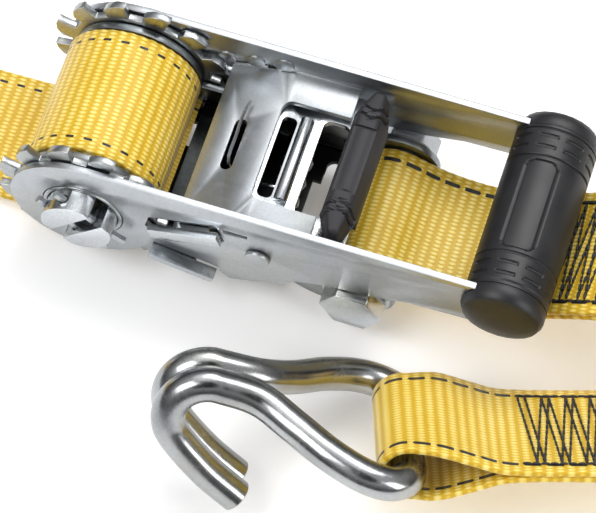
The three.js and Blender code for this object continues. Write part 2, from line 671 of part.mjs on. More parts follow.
function makeHookAssembly(letter, position, yaw, tilt) {
  const group = placeHook(new THREE.Group(), position, yaw, tilt);
  group.add(piece(`hook_${letter}`, toSolid(hookGeometry()), BRIGHT_STEEL));
  group.add(piece(`hook_${letter}_strap_eye`, hookEye(), WEBBING));
  return group;
}

function makeLongStrap() {
  const group = new THREE.Group();
  const leaveZ = AXIS_Z - WOUND_R - GAP - HALF_LAYER - 0.1;
  const lead = [
    ...arcPoints(0, AXIS_Z, AXIS_Z - leaveZ, -55, -92, 6),
    ...alongCurve([[-12, leaveZ - 0.5], [-30, leaveZ - 2.2], [-50, LAID_Z + 0.6], [-70, LAID_Z]], 8),
    [BUNDLE[1] + GAP, LAID_Z],
  ];
  group.add(piece('long_strap_lead', strapSolid(lead), WEBBING));
  const bundle = box(BUNDLE[0], BUNDLE[1], -HALF_WEBBING, HALF_WEBBING, GROUND_Z, BUNDLE_TOP);
  group.add(piece('strap_bundle', bundle, WEBBING));
  const joinX = HOOK_B_X + HOOK_DOUBLE;
  const tailZ = BUNDLE_TOP - HALF_LAYER - 0.1;
  const tail = spaced(BUNDLE[0] - GAP, joinX - 5, 19).map((x) => {
    const t = smooth((BUNDLE[0] - GAP - x) / (BUNDLE[0] - GAP - joinX));
    return [x, tailZ + (HOOK_B_Z - tailZ) * t];
  });
  group.add(piece('strap_tail', strapSolid(tail), WEBBING));
  return group;
}

// ---- assembly -----------------------------------------------------------
const group = new THREE.Group();
const buckle = new THREE.Group();
buckle.position.set(0, 0, AXIS_Z);
buckle.add(makeBase(), makeLockPawl(), makeDrum(), makeHandle(), makeHandlePawl());
group.add(buckle, makeBoltStrap(), makeFoldedStrap(), makeLongStrap());
group.add(makeHookAssembly('a', HOOK_A, HOOK_YAW, HOOK_TILT));
group.add(makeHookAssembly('b', [HOOK_B_X, 0, HOOK_B_Z], 0, 0));
group.position.set(AXIS_X, 0, 0);

export default group;
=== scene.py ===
"""Ratchet strap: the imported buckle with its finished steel, rubber and woven webbing."""
import math

import bmesh
import bpy
from mathutils import Matrix, Vector


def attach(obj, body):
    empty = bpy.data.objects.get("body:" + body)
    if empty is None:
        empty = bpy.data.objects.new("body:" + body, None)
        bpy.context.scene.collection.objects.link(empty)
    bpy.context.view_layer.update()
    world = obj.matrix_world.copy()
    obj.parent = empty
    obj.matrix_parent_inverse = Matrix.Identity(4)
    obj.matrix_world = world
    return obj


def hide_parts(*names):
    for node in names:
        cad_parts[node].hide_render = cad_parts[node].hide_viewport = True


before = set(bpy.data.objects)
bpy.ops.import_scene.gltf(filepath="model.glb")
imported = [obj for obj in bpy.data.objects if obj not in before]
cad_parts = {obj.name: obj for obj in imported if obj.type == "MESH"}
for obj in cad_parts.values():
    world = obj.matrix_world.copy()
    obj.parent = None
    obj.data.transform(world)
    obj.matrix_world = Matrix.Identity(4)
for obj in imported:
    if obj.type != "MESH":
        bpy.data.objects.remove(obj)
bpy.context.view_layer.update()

# Lengths below are in millimetres, with X measured from the drum's axis, as in the CAD part.
AXIS_X, AXIS_Z = -48.0, 22.0
GROUND_Z = -11.0
LAID_Z = GROUND_Z + 1.2
WOUND_R = 26.5
BOLT = (99.5, 8.0)
GRIP = (152.5, 39.0)
FOLD_X, FOLD_R = 383.0, 2.8
HOOK_YAW, HOOK_TILT = math.radians(18), math.radians(31)
HOOK_A = Vector((132.4, -81.5, 19.3))
HOOK_B = Vector((-602.0, 0.0, 16.9))
HOOK_DOUBLE = 95.0
RISE_FROM = 62.0
FIXED_RUN = [(206.5, 40.9), (225, 43), (250, 38), (275, 26), (300, 12), (325, 1.5), (345, LAID_Z + 2 * FOLD_R)]
BUNDLE = (-402.0, -202.0)
BUNDLE_LAYERS, LAYER_PITCH = 19, 2.45
HALF_WIDTH, HALF_THICK = 25.0, 1.1
BASE_INSIDE = 26.0
WEAVE_LONG, WEAVE_ACROSS = 3.7, 1.6

X, Y, Z = Vector((1, 0, 0)), Vector((0, 1, 0)), Vector((0, 0, 1))


def metres(point):
    """A point in millimetres from the drum's axis, as metres in the part's own frame."""
    return Vector((point[0] + AXIS_X, point[1], point[2])) * 0.001


# ---- camera, light and floor --------------------------------------------
def add_camera():
    right = Vector((0.95320, 0.30101, 0.02796))
    up = Vector((-0.28110, 0.84838, 0.44862))
    back = right.cross(up).normalized()
    up = back.cross(right).normalized()
    data = bpy.data.cameras.new("camera")
    data.lens = 227.5
    data.sensor_width = 36.0
    data.clip_start = 0.1
    data.clip_end = 20.0
    data.dof.use_dof = False
    camera = bpy.data.objects.new("camera", data)
    place = Matrix((right.normalized(), up, back)).transposed().to_4x4()
    place.translation = Vector((0.1762, -0.6030, 1.1995))
    camera.matrix_world = place
    bpy.context.scene.collection.objects.link(camera)
    bpy.context.scene.camera = camera


def add_area(name, at, target, size, power, color=(1, 1, 1)):
    data = bpy.data.lights.new(name, "AREA")
    data.shape = "RECTANGLE"
    data.size, data.size_y = size
    data.energy = power
    data.color = color
    light = bpy.data.objects.new(name, data)
    light.location = at
    light.rotation_euler = (Vector(target) - Vector(at)).to_track_quat("-Z", "Y").to_euler()
    bpy.context.scene.collection.objects.link(light)


def add_studio():
    world = bpy.data.worlds.new("studio")
    bpy.context.scene.world = world
    world.use_nodes = True
    nodes, links = world.node_tree.nodes, world.node_tree.links
    nodes.clear()
    place = nodes.new("ShaderNodeTexCoord")
    split = nodes.new("ShaderNodeSeparateXYZ")
    ramp = nodes.new("ShaderNodeValToRGB")
    back = nodes.new("ShaderNodeBackground")
    out = nodes.new("ShaderNodeOutputWorld")
    links.new(place.outputs["Generated"], split.inputs[0])
    links.new(split.outputs["Z"], ramp.inputs["Fac"])

    def toward(direction, low, high):
        dot = nodes.new("ShaderNodeVectorMath")
        dot.operation = "DOT_PRODUCT"
        dot.inputs[1].default_value = Vector(direction).normalized()
        links.new(place.outputs["Generated"], dot.inputs[0])
        mask = nodes.new("ShaderNodeMapRange")
        mask.interpolation_type = "SMOOTHSTEP"
        mask.inputs["From Min"].default_value = low
        mask.inputs["From Max"].default_value = high
        links.new(dot.outputs["Value"], mask.inputs["Value"])
        return mask.outputs[0]

    def shaded(mask, under, value):
        mix = nodes.new("ShaderNodeMix")
        mix.data_type = "RGBA"
        links.new(mask, mix.inputs[0])
        links.new(under, mix.inputs[6])
        mix.inputs[7].default_value = (value, value, value, 1)
        return mix.outputs[2]

    sky = shaded(toward((-0.11, 0.435, 0.89), 0.86, 0.97), ramp.outputs["Color"], 2.3)
    sky = shaded(toward((0.11, -0.435, 0.893), 0.91, 0.96), sky, 0.03)
    links.new(sky, back.inputs["Color"])
    links.new(back.outputs[0], out.inputs["Surface"])
    stops = [(0.0, 0.16), (0.18, 0.14), (0.42, 0.34), (0.72, 0.8), (1.0, 0.95)]
    for place_on_ramp, value in stops[2:]:
        ramp.color_ramp.elements.new(place_on_ramp)
    for stop, (place_on_ramp, value) in zip(ramp.color_ramp.elements, stops):
        stop.position = place_on_ramp
        stop.color = (value, value, value * 1.01, 1)
    back.inputs["Strength"].default_value = 0.7
    middle = (0.03, 0.0, 0.0)
    add_area("key", (-0.55, -0.5, 1.0), middle, (0.6, 0.6), 6.0)
    add_area("top", (0.15, 0.55, 1.1), middle, (0.9, 0.5), 6.5)
    add_area("side", (0.9, -0.35, 0.55), middle, (0.35, 0.6), 3.4)


def add_floor():
    size = 6.0
    mesh = bpy.data.meshes.new("floor")
    z = GROUND_Z * 0.001 - 0.0003
    corners = [(-size, -size, z), (size, -size, z), (size, size, z), (-size, size, z)]
    mesh.from_pydata(corners, [], [(0, 1, 2, 3)])
    floor = bpy.data.objects.new("floor", mesh)
    bpy.context.scene.collection.objects.link(floor)
    shader = Shader("floor", roughness=0.9)
    speckle = shader.noise(3.0, detail=2.0)
    shader.color(shader.ramp(speckle, [(0.0, (0.93, 0.93, 0.93)), (1.0, (0.96, 0.96, 0.96))]))
    shader.bsdf.inputs["Emission Color"].default_value = (1, 1, 1, 1)
    shader.bsdf.inputs["Emission Strength"].default_value = 0.18
    mesh.materials.append(shader.material)


# ---- materials ----------------------------------------------------------
class Shader:
    """A material whose node tree is written as plain expressions."""

    def __init__(self, name, roughness=0.5, metallic=0.0):
        self.material = bpy.data.materials.new(name)
        self.material.use_nodes = True
        self.tree = self.material.node_tree
        self.bsdf = next(n for n in self.tree.nodes if n.type == "BSDF_PRINCIPLED")
        self.bsdf.inputs["Roughness"].default_value = roughness
        self.bsdf.inputs["Metallic"].default_value = metallic
        self.object_place = self.tree.nodes.new("ShaderNodeTexCoord").outputs["Object"]

    def link(self, value, socket):
        if isinstance(value, (int, float)):
            socket.default_value = value
        else:
            self.tree.links.new(value, socket)

    def math(self, operation, a, b=0.0, clamp=False):
        node = self.tree.nodes.new("ShaderNodeMath")
        node.operation = operation
        node.use_clamp = clamp
        self.link(a, node.inputs[0])
        self.link(b, node.inputs[1])
        return node.outputs[0]

    def noise(self, scale, detail=3.0, stretch=(1, 1, 1), roughness=0.55):
        mapping = self.tree.nodes.new("ShaderNodeMapping")
        mapping.inputs["Scale"].default_value = stretch
        self.tree.links.new(self.object_place, mapping.inputs["Vector"])
        node = self.tree.nodes.new("ShaderNodeTexNoise")
        node.inputs["Scale"].default_value = scale
        node.inputs["Detail"].default_value = detail
        node.inputs["Roughness"].default_value = roughness
        self.tree.links.new(mapping.outputs[0], node.inputs["Vector"])
        return node.outputs["Fac"]

    def ramp(self, value, stops):
        node = self.tree.nodes.new("ShaderNodeValToRGB")
        for place, _ in stops[2:]:
            node.color_ramp.elements.new(place)
        for stop, (place, color) in zip(node.color_ramp.elements, stops):
            stop.position = place
            stop.color = (*color, 1)
        self.link(value, node.inputs["Fac"])
        return node.outputs["Color"]

    def blend(self, amount, a, b):
        node = self.tree.nodes.new("ShaderNodeMix")
        node.data_type = "RGBA"
        self.link(amount, node.inputs[0])
        for value, socket in ((a, node.inputs[6]), (b, node.inputs[7])):
            if isinstance(value, tuple):
                socket.default_value = (*value, 1)
            else:
                self.tree.links.new(value, socket)
        return node.outputs[2]

    def span(self, value, low, high, to_low=0.0, to_high=1.0):
        node = self.tree.nodes.new("ShaderNodeMapRange")
        for name, number in (("From Min", low), ("From Max", high), ("To Min", to_low), ("To Max", to_high)):
            node.inputs[name].default_value = number
        self.link(value, node.inputs["Value"])
        return node.outputs[0]

    def color(self, value):
        self.tree.links.new(value, self.bsdf.inputs["Base Color"])

    def roughness(self, value):
        self.tree.links.new(value, self.bsdf.inputs["Roughness"])

    def bump(self, height, distance, strength=1.0, under=None):
        node = self.tree.nodes.new("ShaderNodeBump")
        node.inputs["Distance"].default_value = distance
        node.inputs["Strength"].default_value = strength
        self.tree.links.new(height, node.inputs["Height"])
        if under is not None:
            self.tree.links.new(under, node.inputs["Normal"])
        self.tree.links.new(node.outputs[0], self.bsdf.inputs["Normal"])
        return node.outputs[0]


def steel(name, light, dark, tint, rough=(0.2, 0.34), stretch=(1, 1, 1), bump=0.00004, sunk=None):
    """Zinc-plated steel: soft cloudy colour, a trace of passivated tint and fine rolled grain.

    Between the base's sides, anything lower than the height sunk, in metres, is coloured as shade.
    """
    shader = Shader(name, metallic=1.0)
    clouds = shader.noise(38.0, detail=4.0)
    tinted = shader.noise(23.0, detail=2.0, stretch=(1.3, 0.8, 1.0))
    base = shader.ramp(clouds, [(0.3, dark), (0.62, light)])
    finish = shader.blend(shader.span(tinted, 0.5, 0.75, 0.0, 0.55), base, tint)
    grain = shader.noise(420.0, detail=4.0, stretch=stretch)
    specks = shader.span(shader.noise(1500.0, detail=2.0), 0.35, 0.65, 0.0, 0.22)
    finish = shader.blend(specks, finish, tuple(0.55 * value for value in dark))
    if sunk is not None:
        split = shader.tree.nodes.new("ShaderNodeSeparateXYZ")
        shader.tree.links.new(shader.object_place, split.inputs[0])
        low = shader.math("LESS_THAN", split.outputs[2], sunk)
        between = shader.math("LESS_THAN", shader.math("ABSOLUTE", split.outputs[1]), BASE_INSIDE * 0.001)
        finish = shader.blend(shader.math("MULTIPLY", low, between), finish, (0.014, 0.015, 0.015))
    shader.color(finish)
    wear = shader.noise(90.0, detail=5.0)
    mix = shader.math("ADD", shader.math("MULTIPLY", grain, 0.45), shader.math("MULTIPLY", wear, 0.55))
    shader.roughness(shader.span(mix, 0.35, 0.65, *rough))
    waves = shader.bump(shader.noise(55.0, detail=1.0), 0.00007, 0.4)
    shader.bump(grain, bump, 0.6, under=waves)
    return shader.material


def rubber(name, light, dark, rough):
    shader = Shader(name)
    clouds = shader.noise(70.0, detail=5.0)
    shader.color(shader.ramp(clouds, [(0.35, dark), (0.7, light)]))
    grain = shader.noise(1700.0, detail=3.0)
    shader.roughness(shader.span(clouds, 0.3, 0.7, *rough))
    shader.bump(grain, 0.00006, 0.5)
    return shader.material


def webbing(name, dash=0.42, dash_pitch=7.0, rib=0.0, line_half=0.5):
    """Woven polyester: staggered raised yarns, fine fibres, and a black tracer near each edge."""
    shader = Shader(name, roughness=0.42)
    place = shader.tree.nodes.new("ShaderNodeUVMap")
    place.uv_map = "strap"
    split = shader.tree.nodes.new("ShaderNodeSeparateXYZ")
    shader.tree.links.new(place.outputs[0], split.inputs[0])
    along, across = split.outputs[0], split.outputs[1]
    wobble = shader.math("MULTIPLY", shader.math("SUBTRACT", shader.noise(260.0, detail=2.0), 0.5), 0.12)
    step = shader.math("ADD", shader.math("DIVIDE", along, WEAVE_LONG), wobble)
    stagger = shader.math("MULTIPLY", shader.math("FLOOR", step), 0.5)
    row = shader.math("ADD", shader.math("DIVIDE", across, WEAVE_ACROSS), stagger)
    fu = shader.math("SUBTRACT", shader.math("FRACT", step), 0.5)
    fv = shader.math("SUBTRACT", shader.math("FRACT", row), 0.5)
    du = shader.math("POWER", shader.math("ABSOLUTE", shader.math("MULTIPLY", fu, 2.45)), 2.0)
    dv = shader.math("POWER", shader.math("ABSOLUTE", shader.math("MULTIPLY", fv, 2.1)), 2.0)
    oval = shader.math("SUBTRACT", 1.0, shader.math("ADD", du, dv), clamp=True)
    yarn = shader.math("POWER", oval, 0.5)
    fibres = shader.tree.nodes.new("ShaderNodeTexNoise")
    stretch = shader.tree.nodes.new("ShaderNodeMapping")
    stretch.inputs["Scale"].default_value = (0.7, 9.0, 1.0)
    shader.tree.links.new(place.outputs[0], stretch.inputs["Vector"])
    shader.tree.links.new(stretch.outputs[0], fibres.inputs["Vector"])
    fibres.inputs["Scale"].default_value = 1.0
    fibres.inputs["Detail"].default_value = 3.0
    fibre = fibres.outputs["Fac"]
    # Painted highlight and shade: raised yarn tops are painted lighter and the gaps between yarns darker; the fibre
    # and cloud noise are the webbing's own uneven colour.
    yarn_highlight_and_fibre = shader.math("ADD", shader.math("MULTIPLY", yarn, 0.72), shader.math("MULTIPLY", fibre, 0.3))
    clouds = shader.math("MULTIPLY", shader.math("SUBTRACT", shader.noise(40.0), 0.5), 0.45)
    gold = shader.ramp(shader.math("ADD", yarn_highlight_and_fibre, clouds), [
        (0.0, (0.62, 0.37, 0.012)), (0.35, (0.75, 0.48, 0.020)),
        (0.65, (0.89, 0.63, 0.06)), (1.0, (1.0, 0.86, 0.38))])
    edge = shader.math("ABSOLUTE", shader.math("SUBTRACT", shader.math("ABSOLUTE", across), 20.4))
    in_line = shader.math("LESS_THAN", edge, line_half)
    cycle = shader.math("FRACT", shader.math("DIVIDE", along, dash_pitch))
    taper = shader.math("MULTIPLY", shader.math("SUBTRACT", edge, 0.2), 0.12)
    in_dash = shader.math("LESS_THAN", shader.math("ADD", cycle, taper), dash)
    tracer = shader.math("MULTIPLY", in_line, in_dash)
    shader.color(shader.blend(tracer, gold, (0.012, 0.011, 0.011)))
    shader.roughness(shader.span(fibre, 0.3, 0.7, 0.34, 0.52))
    height = shader.math("ADD", yarn, shader.math("MULTIPLY", fibre, 0.22))
    if rib:
        height = shader.math("ADD", height, shader.math("MULTIPLY", shader.math("ABSOLUTE", fu), -rib))
    shader.bump(height, 0.0004, 0.6)
    shader.bsdf.inputs["Sheen Weight"].default_value = 0.25
    shader.bsdf.inputs["Sheen Roughness"].default_value = 0.4
    shader.bsdf.inputs["Coat Weight"].default_value = 0.12
    shader.bsdf.inputs["Coat Roughness"].default_value = 0.3
    return shader.material


def thread():
    shader = Shader("thread", roughness=0.55)
    twist = shader.noise(900.0, detail=2.0)
    shader.color(shader.ramp(twist, [(0.3, (0.008, 0.008, 0.009)), (0.7, (0.035, 0.033, 0.034))]))
    shader.bump(twist, 0.0002, 0.6)
    return shader.material


# ---- mesh helpers -------------------------------------------------------
def new_piece(name, points, faces, material, body, smooth=True, uv=None):
    """A mesh from points in millimetres that rides on a body and takes the given material."""
    mesh = bpy.data.meshes.new(name)
    mesh.from_pydata([metres(p) for p in points], [], faces)
    mesh.materials.append(material)
    if uv is not None:
        layer = mesh.uv_layers.new(name="strap")
        for loop in mesh.loops:
            layer.data[loop.index].uv = uv[loop.vertex_index]
    if smooth:
        mesh.polygons.foreach_set("use_smooth", [True] * len(mesh.polygons))
    mesh.validate()
    piece = bpy.data.objects.new(name, mesh)
    bpy.context.scene.collection.objects.link(piece)
    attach(piece, body)
    return piece


def turn_outwards(piece):
    work = bmesh.new()
    work.from_mesh(piece.data)
    bmesh.ops.recalc_face_normals(work, faces=work.faces)
    work.to_mesh(piece.data)
    work.free()


def crease(piece, degrees=35.0):
    """Smooth shading, broken at edges sharper than the angle."""
    work = bmesh.new()
    work.from_mesh(piece.data)
    for face in work.faces:
        face.smooth = True
    for edge in work.edges:
        sharp = len(edge.link_faces) != 2 or edge.calc_face_angle(0.0) > math.radians(degrees)
        edge.smooth = not sharp
    work.to_mesh(piece.data)
    work.free()


def loft(rings, closed_ends=True):
    """Faces and points through equal closed rings."""
    count = len(rings[0])
    points = [p for ring in rings for p in ring]
    faces = []
    for i in range(len(rings) - 1):
        for k in range(count):
            after = (k + 1) % count
            faces.append((i * count + k, i * count + after, (i + 1) * count + after, (i + 1) * count + k))
    if closed_ends:
        faces.append(tuple(range(count))[::-1])
        faces.append(tuple(range((len(rings) - 1) * count, len(rings) * count)))
    return points, faces


def spline(points, per_span=12):
    """A centripetal Catmull-Rom curve through the points."""
    points = [Vector(p) for p in points]
    ends = [points[0] * 2 - points[1]] + points + [points[-1] * 2 - points[-2]]
    curve = []
    for a, b, c, d in zip(ends, ends[1:], ends[2:], ends[3:]):
        t0 = 0.0
        t1 = t0 + math.sqrt((b - a).length)
        t2 = t1 + math.sqrt((c - b).length)
        t3 = t2 + math.sqrt((d - c).length)
        for k in range(per_span):
            t = t1 + (t2 - t1) * k / per_span
            ab = a.lerp(b, (t - t0) / (t1 - t0))
            bc = b.lerp(c, (t - t1) / (t2 - t1))
            cd = c.lerp(d, (t - t2) / (t3 - t2))
            abc = ab.lerp(bc, (t - t0) / (t2 - t0))
            bcd = bc.lerp(cd, (t - t1) / (t3 - t1))
            curve.append(abc.lerp(bcd, (t - t1) / (t2 - t1)))
    curve.append(points[-1])
    return curve


def tube(line, radius, sides=16, chamfer=0.0):
    """Rings of a round bar along a line, square-cut with a small chamfer at each end."""
    line = [Vector(p) for p in line]
    if chamfer:
        first = (line[1] - line[0]).normalized()
        last = (line[-1] - line[-2]).normalized()
        line = [line[0], line[0] + first * chamfer] + line[1:-1] + [line[-1] - last * chamfer, line[-1]]
    rings = []
    side = None
    for i, point in enumerate(line):
        ahead = (line[min(i + 1, len(line) - 1)] - line[max(i - 1, 0)]).normalized()
        if side is None:
            side = ahead.orthogonal().normalized()
        side = (side - ahead * side.dot(ahead)).normalized()
        other = ahead.cross(side)
        at_end = chamfer and i in (0, len(line) - 1)
        size = radius(i) if callable(radius) else radius - (chamfer if at_end else 0.0)
        rings.append([point + (side * math.cos(a) + other * math.sin(a)) * size
                      for a in (2 * math.pi * k / sides for k in range(sides))])
    return loft(rings)


def arc(centre, radius, start, end, count):
    angles = [math.radians(start + (end - start) * i / count) for i in range(count + 1)]
    return [(centre[0] + radius * math.cos(a), centre[1] + radius * math.sin(a)) for a in angles]


def smooth_step(t):
    t = min(max(t, 0.0), 1.0)
    return t * t * (3 - 2 * t)


def even(line, step):
    """The same line with points at equal steps, and its length."""
    line = [Vector(p) for p in line]
    reach = [0.0]
    for a, b in zip(line, line[1:]):
        reach.append(reach[-1] + (b - a).length)
    count = max(int(round(reach[-1] / step)), 1)
    result, i = [], 0
    for k in range(count + 1):
        s = reach[-1] * k / count
        while i < len(line) - 2 and reach[i + 1] < s:
            i += 1
        width = reach[i + 1] - reach[i]
        result.append(line[i].lerp(line[i + 1], (s - reach[i]) / width if width else 0.0))
    return result, reach[-1]


class Route:
    """A strap's path in a plane: the place and direction at a distance along it."""

    def __init__(self, line, step=0.5):
        self.points, self.length = even([(p[0], p[1], 0) for p in line], step)
        self.step = self.length / (len(self.points) - 1)

    def at(self, s):
        k = min(max(s / self.step, 0.0), len(self.points) - 1.000001)
        i = int(k)
        a, b = self.points[i], self.points[i + 1]
        before = self.points[max(i - 1, 0)]
        after = self.points[min(i + 2, len(self.points) - 1)]
        ahead = (b - before).normalized().lerp((after - a).normalized(), k - i).normalized()
        place = a.lerp(b, k - i)
        return place.x, place.y, ahead.x, ahead.y


# ---- webbing ------------------------------------------------------------
def strap_section(count=13):
    """Points round a strap's edge-on section, as (across, height) shares of its half sizes."""
    flat = 0.975
    top = [(-flat + 2 * flat * i / (count - 1), 1.0) for i in range(count)]
    right = [(0.992, 0.75), (1.0, 0.3), (1.0, -0.3), (0.992, -0.75)]
    bottom = [(a, -1.0) for a, _ in reversed(top)]
    left = [(-a, h) for a, h in reversed(right)]
    return top + right + bottom + left


def strap(name, stations, point, material, replaced, body="base", scallop=0.22,
          width=None):
    """A woven strap: point(s, v, h) gives the place of a spot on it, at every station s."""
    section = strap_section()
    rings, uv = [], []
    for s in stations:
        wave = 0.5 + 0.5 * math.sin(2 * math.pi * s / WEAVE_LONG)
        half = HALF_WIDTH if width is None else width(s)
        ring = []
        for across, height in section:
            edge = scallop * wave * max(abs(across) - 0.96, 0.0) / 0.04
            v = across * half - math.copysign(edge, across)
            ring.append(point(s, v, height * HALF_THICK))
            uv.append((s, across * HALF_WIDTH))
        rings.append(ring)
    points, faces = loft(rings)
    piece = new_piece(name, points, faces, material, body, uv=uv)
    turn_outwards(piece)
    crease(piece, 60.0)
    for node in replaced:
        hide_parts(node)
    return piece


def stations_every(length, step):
    count = int(round(length / step))
    return [length * i / count for i in range(count + 1)]


def run_height(x):
    last = len(FIXED_RUN) - 1
    if x >= FIXED_RUN[last][0]:
        return FIXED_RUN[last][1]
    i = 0
    while i < last - 1 and x > FIXED_RUN[i + 1][0]:
        i += 1

    def slope(k):
        if k == 0:
            return 0.16
        if k == last:
            return 0.0
        (xa, za), (xb, zb) = FIXED_RUN[k - 1], FIXED_RUN[k + 1]
        return (zb - za) / (xb - xa)

    (x0, z0), (x1, z1) = FIXED_RUN[i], FIXED_RUN[i + 1]
    w = x1 - x0
    t = (x - x0) / w
    return (z0 * (1 + 2 * t) * (1 - t) ** 2 + slope(i) * w * t * (1 - t) ** 2
            + z1 * t * t * (3 - 2 * t) + slope(i + 1) * w * t * t * (t - 1))


RETURN_LENGTH = math.hypot(FOLD_X - HOOK_A.x, HOOK_A.y) - HOOK_DOUBLE


def return_point(q, v, h):
    f = smooth_step((q - RISE_FROM) / (RETURN_LENGTH - RISE_FROM))
    tilt = HOOK_TILT * f
    z = LAID_Z + (HOOK_A.z - LAID_Z) * f
    side = v * math.cos(tilt) + h * math.sin(tilt)
    return Vector((
        FOLD_X - q * math.cos(HOOK_YAW) - side * math.sin(HOOK_YAW),
        -q * math.sin(HOOK_YAW) + side * math.cos(HOOK_YAW),
        z - v * math.sin(tilt) + h * math.cos(tilt),
    ))


def folded_point(s, v, h):
    """A spot on the strap from its sewn end over the crest, round the fold and back to the hook."""
    start = FIXED_RUN[0][0]
    half = HOOK_YAW / 2
    x = start + s - FOLD_X
    across = -math.sin(half) * x + math.cos(half) * v
    ahead = math.cos(half) * x + math.sin(half) * v
    bend = math.pi * FOLD_R

    def place(n, z, lean):
        return Vector((
            FOLD_X - math.sin(half) * across + math.cos(half) * (n + h * lean[0]),
            math.cos(half) * across + math.sin(half) * (n + h * lean[0]),
            z + h * lean[1],
        ))

    if ahead < 0:
        lift = 1.15 * (1 - smooth_step(s / 25.0))
        slope = run_height(start + s + 0.5) - run_height(start + s - 0.5)
        lean = math.hypot(1.0, slope)
        return place(ahead, run_height(start + s) + lift, (-slope / lean, 1.0 / lean))
    if ahead < bend:
        angle = ahead / FOLD_R
        z = LAID_Z + FOLD_R + FOLD_R * math.cos(angle)
        return place(FOLD_R * math.sin(angle), z, (math.sin(angle), math.cos(angle)))
    q = x - bend / math.cos(half)
    return return_point(q, v, -h + 1.2 * smooth_step((q - RETURN_LENGTH + 40) / 38.0))


BOLT_ROUTE = Route(
    spline([(206.2, 39.7, 0), (184.2, 32.3, 0), (168, 23.2, 0), (153, 14.0, 0), (144.8, 10.8, 0), (135, 8.2, 0),
            (122, 5.0, 0), (109, 0.4, 0), (101, -1.4, 0)])
    + [Vector((x, z, 0)) for x, z in arc(BOLT, 9.6, 270, 90, 24)]
    + spline([(101, 17.5, 0), (107, 15.6, 0), (114, 12.8, 0), (124, 11.0, 0), (135, 11.0, 0), (144, 13.4, 0),
              (152, 16.7, 0), (167, 25.8, 0), (183, 34.9, 0), (206.1, 42.1, 0)]))

EYE_ROUTE = Route(
    spline([(HOOK_DOUBLE, 1.2, 0), (70, 1.2, 0), (42, 1.25, 0), (32, 2.0, 0), (22, 5.2, 0), (11, 8.7, 0),
            (2, 9.3, 0)])
    + [Vector((u, n, 0)) for u, n in arc((0, 0), 9.3, 90, 270, 24)]
    + spline([(2, -9.3, 0), (11, -8.9, 0), (22, -5.6, 0), (32, -2.2, 0), (42, -1.25, 0), (70, -1.2, 0),
              (92, -1.2, 0)]))

FOLDED_LENGTH = FOLD_X - FIXED_RUN[0][0] + math.pi * FOLD_R + RETURN_LENGTH - 0.5


def hook_axes(yaw, tilt):
    u = Vector((math.cos(yaw), math.sin(yaw), 0))
    level = Vector((-math.sin(yaw), math.cos(yaw), 0))
    w = level * math.cos(tilt) - Z * math.sin(tilt)
    return u, w, u.cross(w)


def fixed_point(s, v, h):
    """A spot on the short strap: from its sewn end, round the bolt, to the fold and the hook."""
    if s < BOLT_ROUTE.length:
        x, z, dx, dz = BOLT_ROUTE.at(s)
        return Vector((x - dz * h, v, z + dx * h))
    s -= BOLT_ROUTE.length
    if s < FOLDED_LENGTH:
        return folded_point(s, v, h)
    a, b, da, db = EYE_ROUTE.at(s - FOLDED_LENGTH)
    u, w, n = hook_axes(HOOK_YAW, HOOK_TILT)
    return HOOK_A + u * (a - h * db) + n * (b + h * da) + w * v


def eye_width(distance):
    """A strap's half width by its distance from the hook's bar: the bends of the bar gather it."""
    return HALF_WIDTH - 1.7 * (1 - smooth_step((distance - 4.0) / 14.0))


def add_fixed_strap(material, black):
    total = BOLT_ROUTE.length + FOLDED_LENGTH + EYE_ROUTE.length
    bar = total - EYE_ROUTE.length / 2

    def width(s):
        return eye_width(abs(s - bar) - 9.0)

    strap("short_strap", stations_every(total, 0.925), fixed_point, material,
          ["bolt_strap_eye", "folded_strap", "hook_a_strap_eye"], width=width)
    sewn = BOLT_ROUTE.length
    add_stitching("bolt_eye_stitching", fixed_point, sewn - 46, sewn - 4, 1, black, "base")
    hook = BOLT_ROUTE.length + FOLDED_LENGTH
    add_stitching("hook_a_stitching", fixed_point, hook + 6, hook + 56, -1, black, "base")


def add_stitching(name, point, start, end, side, material, body):
    """Rows of lock stitch: two offset zigzags across the strap, and a line along each edge."""
    lift = side * (HALF_THICK + 0.22)
    width = 19.5
    lines = []
    for offset in (0.0, 2.6):
        count = 11
        pitch = (end - start - 3.5) / count
        lines.append([(start + offset + pitch * k, width if k % 2 else -width) for k in range(count + 1)])
    for v in (-width - 0.6, width + 0.6):
        lines.append([(start, v), (end, v)])
    points, faces = [], []
    for line in lines:
        for (s0, v0), (s1, v1) in zip(line, line[1:]):
            length = math.hypot(s1 - s0, v1 - v0)
            stitches = max(int(length / 3.1), 1)
            for k in range(stitches):
                ends = [(k + share) / stitches for share in (0.04, 0.2, 0.5, 0.8, 0.96)]
                rise = (-0.15, 0.1, 0.2, 0.1, -0.15)
                run = [point(s0 + (s1 - s0) * t, v0 + (v1 - v0) * t, lift + side * up) for t, up in zip(ends, rise)]
                ring_points, ring_faces = tube(run, lambda i: (0.25, 0.45, 0.5, 0.45, 0.25)[i], sides=6)
                shift = len(points)
                points += ring_points
                faces += [tuple(i + shift for i in face) for face in ring_faces]
    piece = new_piece(name, points, faces, material, body)
    turn_outwards(piece)
    return piece


